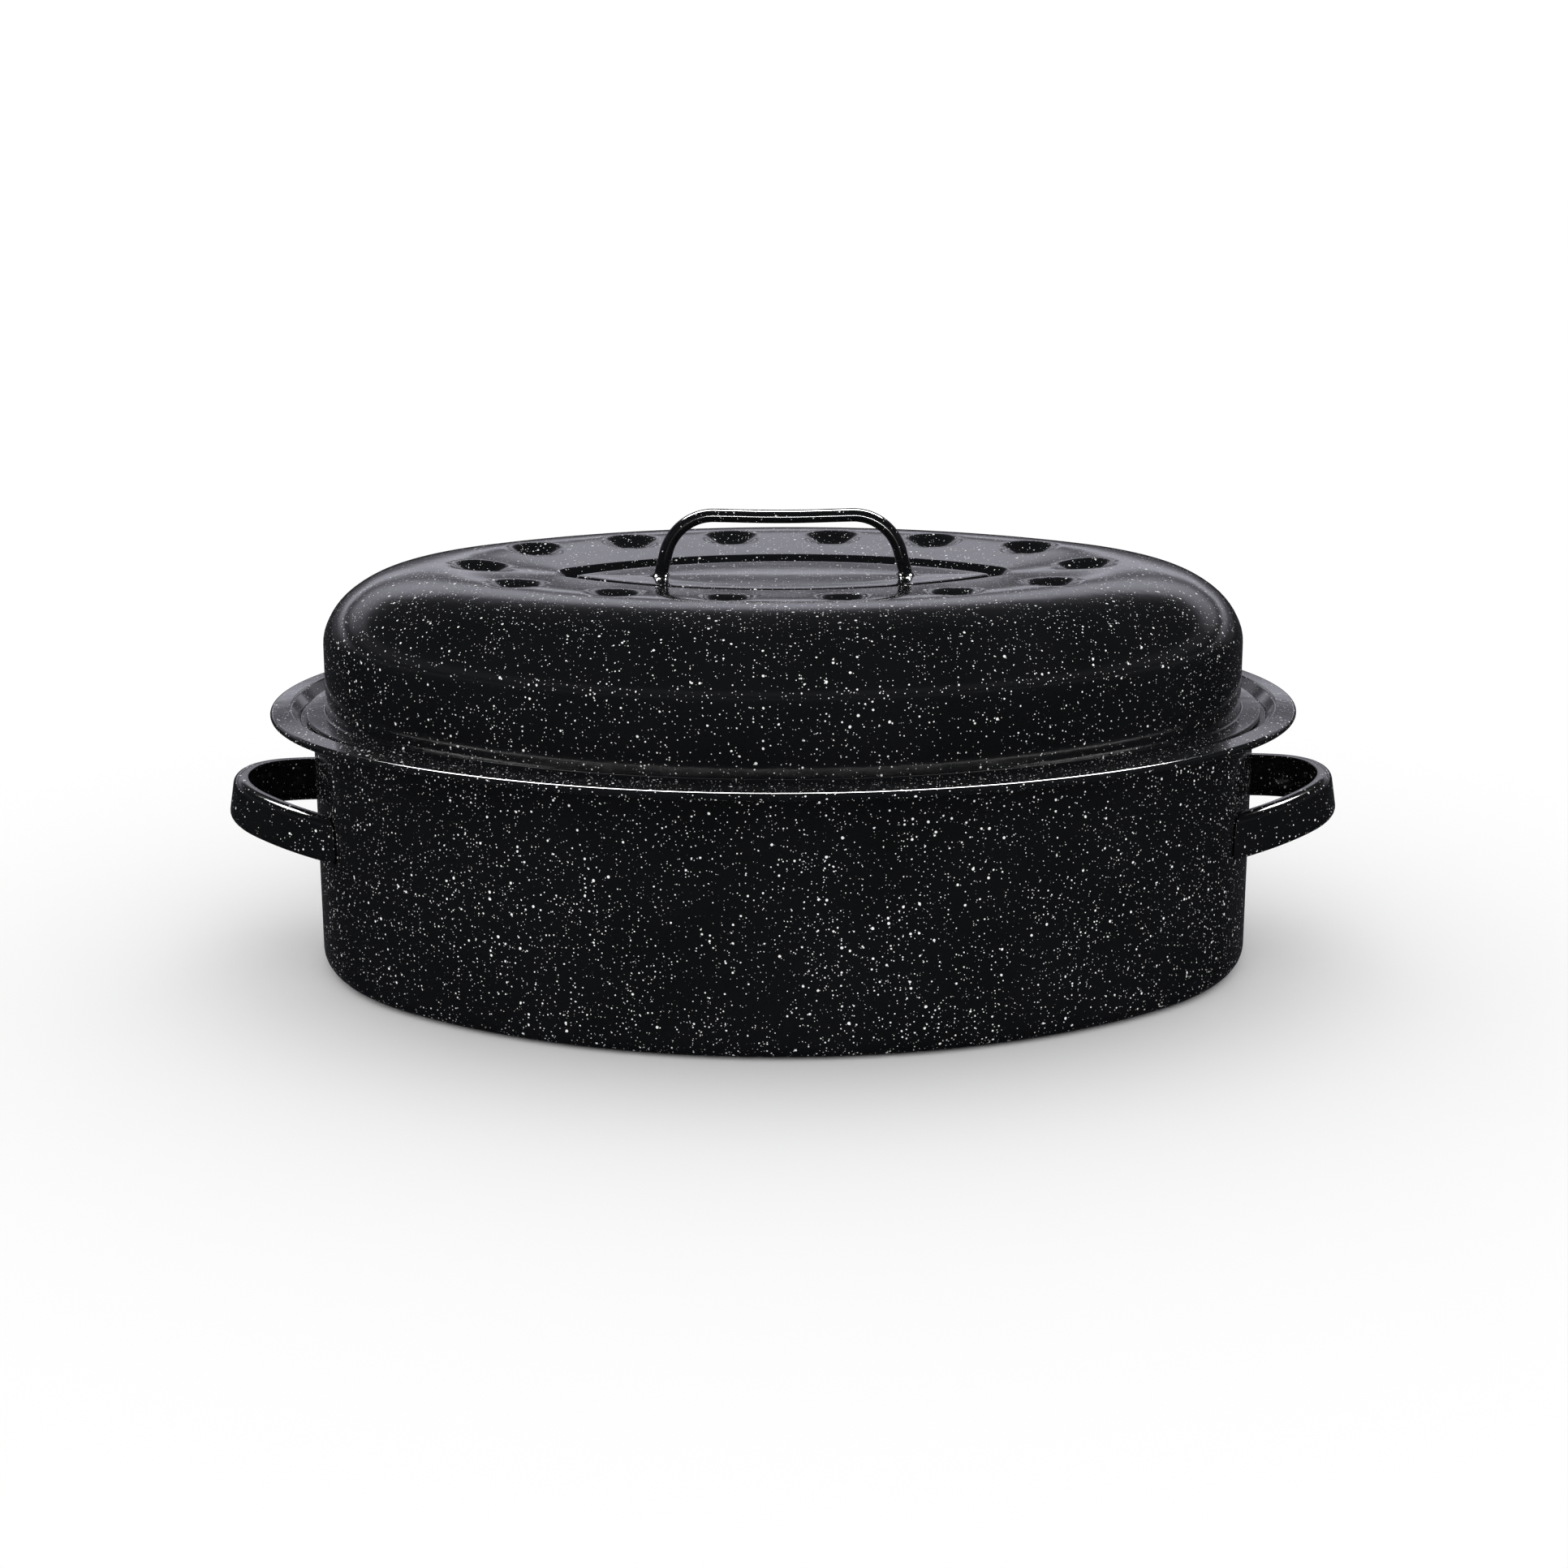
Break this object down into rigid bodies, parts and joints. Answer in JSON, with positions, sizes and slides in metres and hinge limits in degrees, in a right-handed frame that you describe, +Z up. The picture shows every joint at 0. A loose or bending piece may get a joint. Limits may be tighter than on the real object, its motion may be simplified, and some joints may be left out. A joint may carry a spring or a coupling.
{
  "type": "covered oval roaster",
  "caption": "Covered oval roasting pan in speckled enamelled steel: a deep pan with a stepped rim and strap handles, and a lift-off domed lid with a bent-rod handle.",
  "frame": {"origin": "middle of the flat base, on the surface the pan stands on", "axes": "+Z up, X along the length of the oval through both side handles, Y across it"},
  "size_m": [0.4796, 0.3326, 0.1952],
  "materials": {
    "enamel_pan": "gloss black porcelain enamel with white speckles",
    "enamel_lid": "gloss black porcelain enamel with white speckles",
    "enamel_rod": "gloss black porcelain enamel, few speckles",
    "enamel_strap": "gloss black porcelain enamel with white speckles"
  },
  "bodies": {
    "pan": {"pan_shell": "enamel_pan", "right_handle": "enamel_strap", "right_handle_welds": "enamel_strap", "left_handle": "enamel_strap", "left_handle_welds": "enamel_strap"},
    "lid": {"lid_shell": "enamel_lid", "lid_handle": "enamel_rod", "lid_handle_welds": "enamel_rod"}
  },
  "joints": [
    {"name": "lid_lift", "type": "slide", "parent": "pan", "child": "lid", "axis": [0, 0, 1], "range_m": [0, 0.2]}
  ]
}
